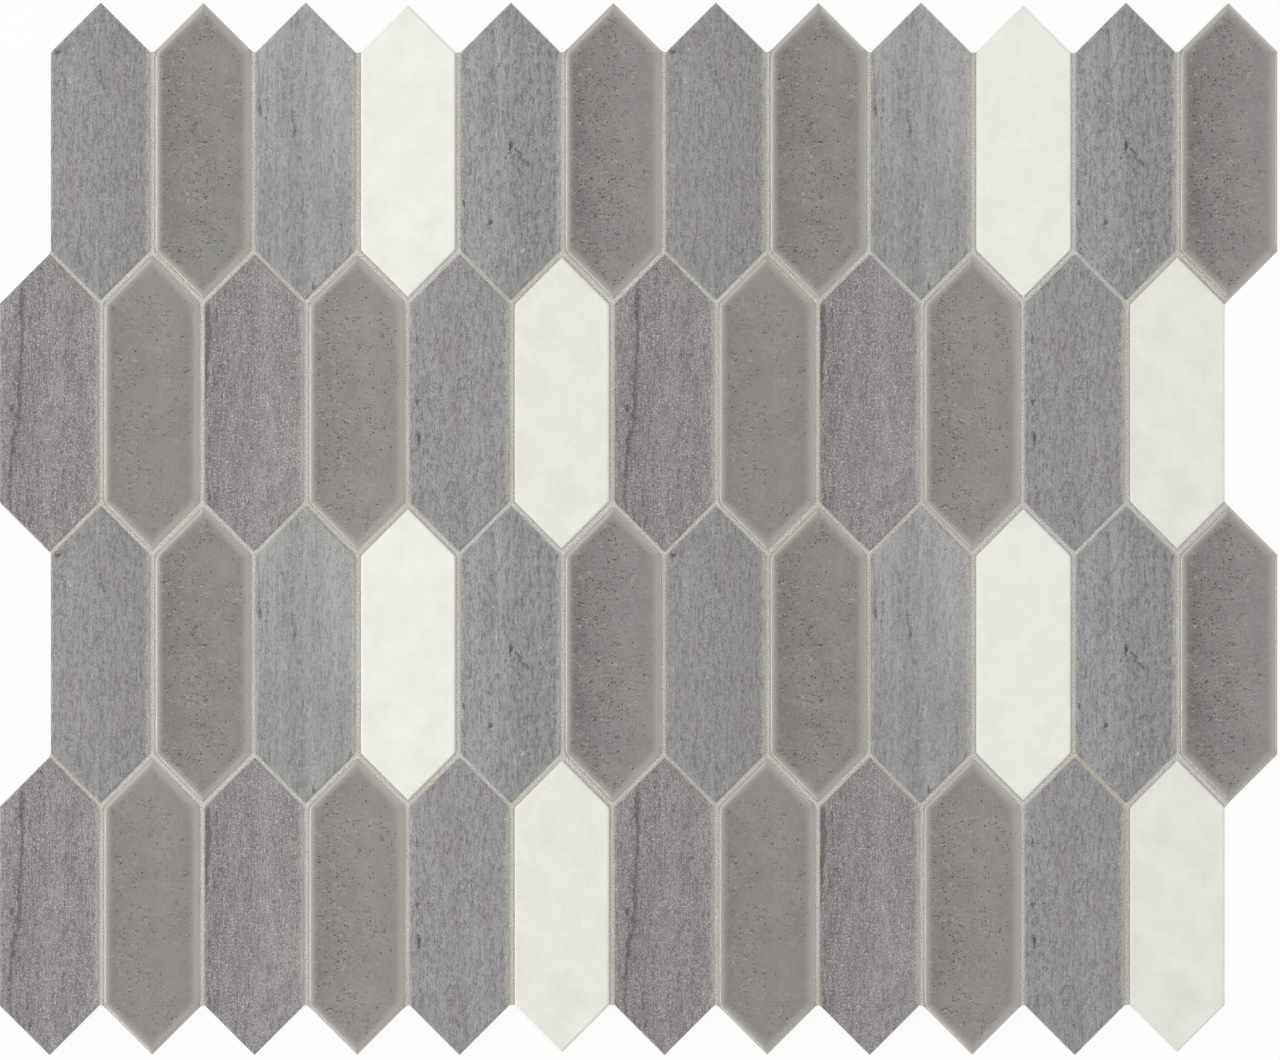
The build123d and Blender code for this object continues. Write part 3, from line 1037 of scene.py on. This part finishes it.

# %% [markdown]
# ## Sanded cement grout
# The grout is grey cement with sand of 0.2 to 0.5 mm. It is dull and porous, and its colour
# drifts a little along the joints, as it does where the sponge was wetter. The grains show as
# light and dark points. Where it meets a picket its colour is darker, as painted shade.

# %% Grout
def sanded_grout():
    material, tree, shader = new_material("sanded_grout")
    in_mm = place_on_piece(tree)[1]
    drift = add(tree, "TexNoise", {"Vector": in_mm, "Scale": 1 / 22.0, "Detail": 2.0})
    sand = add(tree, "TexNoise", {"Vector": in_mm, "Scale": 1 / 0.38, "Detail": 2.0, "Roughness": 0.6})
    colour = laid_over(tree, linear("#C1BFBA"), "#BCBAB0", drift, (0.45, 0.62))
    grain = add(tree, "MapRange", (sand, 0.3, 0.7, 0.62, 1.38))
    from_side = add(tree, "Attribute", attribute_name="from_side").outputs["Fac"]
    # darker towards the pickets: painted shade
    shaded = add(tree, "MapRange", (from_side, 0.1, 0.75, 0.72, 1.0))
    level = add(tree, "Math", (grain, shaded), operation="MULTIPLY")
    shade = add(tree, "VectorMath", {0: colour, "Scale": level}, operation="SCALE")
    bump = add(tree, "Bump", {"Height": sand, "Strength": 0.7, "Distance": 0.0001})
    set_inputs(tree, shader, {"Base Color": shade, "Roughness": 0.9, "Normal": bump})
    return material


grout_mesh.materials.append(sanded_grout())
print("grout has its finish")

# %% [markdown]
# ## Glass-fibre yarn
# The yarn is white glass in a thin coat of latex. Its filaments run along the yarn and shine a
# little, so the pattern is a fine streak across, and the coat keeps the roughness middling.

# %% Glass-fibre yarn
def latex_coated_glass(name, along_x):
    material, tree, shader = new_material(name)
    place = add(tree, "TexCoord").outputs["Object"]
    filament, run = 1000 / 0.12, 1000 / 4.0
    scale = (run, filament, filament) if along_x else (filament, run, filament)
    stretched = add(tree, "Mapping", {"Vector": place, "Scale": scale})
    strands = add(tree, "TexNoise", {"Vector": stretched, "Scale": 1.0, "Detail": 2.0})
    colour = laid_over(tree, linear("#D2D3CC"), "#F0F1EC", strands, (0.35, 0.65))
    bump = add(tree, "Bump", {"Height": strands, "Strength": 0.5, "Distance": 0.00004})
    set_inputs(tree, shader, {"Base Color": colour, "Roughness": 0.42, "Normal": bump})
    return material


weft.data.materials.append(latex_coated_glass("weft_glass", True))
warp.data.materials.append(latex_coated_glass("warp_glass", False))
print("the net has its finish")

# %% [markdown]
# ## Table
# The sheet lies on a plain white table. To the camera, and in reflections, most of the table is
# plain white, so that the background is as white as in the picture. The rest is real diffuse
# white, which keeps the shadow of the sheet.

# %% Table
TABLE_SIZE = 3.0
TABLE_GLOW = 0.93

table_mesh = bpy.data.meshes.new("table")
half = TABLE_SIZE / 2
corners = [(-half, -half, 0), (half, -half, 0), (half, half, 0), (-half, half, 0)]
table_mesh.from_pydata(corners, [], [(0, 1, 2, 3)])
table = bpy.data.objects.new("table", table_mesh)
scene.collection.objects.link(table)
material, tree, shader = new_material("white_table")
set_inputs(tree, shader, {"Base Color": linear("#F8F8F8"), "Roughness": 0.9})
rays = add(tree, "LightPath").outputs
seen = add(tree, "Math", (rays["Is Camera Ray"], rays["Is Glossy Ray"]), operation="MAXIMUM")
seen = add(tree, "Math", (seen, rays["Is Transmission Ray"]), operation="MAXIMUM")
share = add(tree, "Math", (seen, TABLE_GLOW), operation="MULTIPLY")
glow = add(tree, "Emission", {"Color": (1.0, 1.0, 1.0, 1.0), "Strength": 1.0})
mixed = add(tree, "MixShader", (share, shader, glow))
set_inputs(tree, tree.nodes["Material Output"], {"Surface": mixed})
table_mesh.materials.append(material)
table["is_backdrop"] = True
print("the table is", TABLE_SIZE, "m wide")

# %% [markdown]
# ## Measure

# %% Measure
low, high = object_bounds()
print("scene box in mm:", [round(v / MM, 2) for v in (*low, *high)])
triangles = sum(
    sum(len(polygon.vertices) - 2 for polygon in piece.data.polygons)
    for piece in [*picket_objects.values(), grout, weft, warp]
)
print("triangles:", triangles)
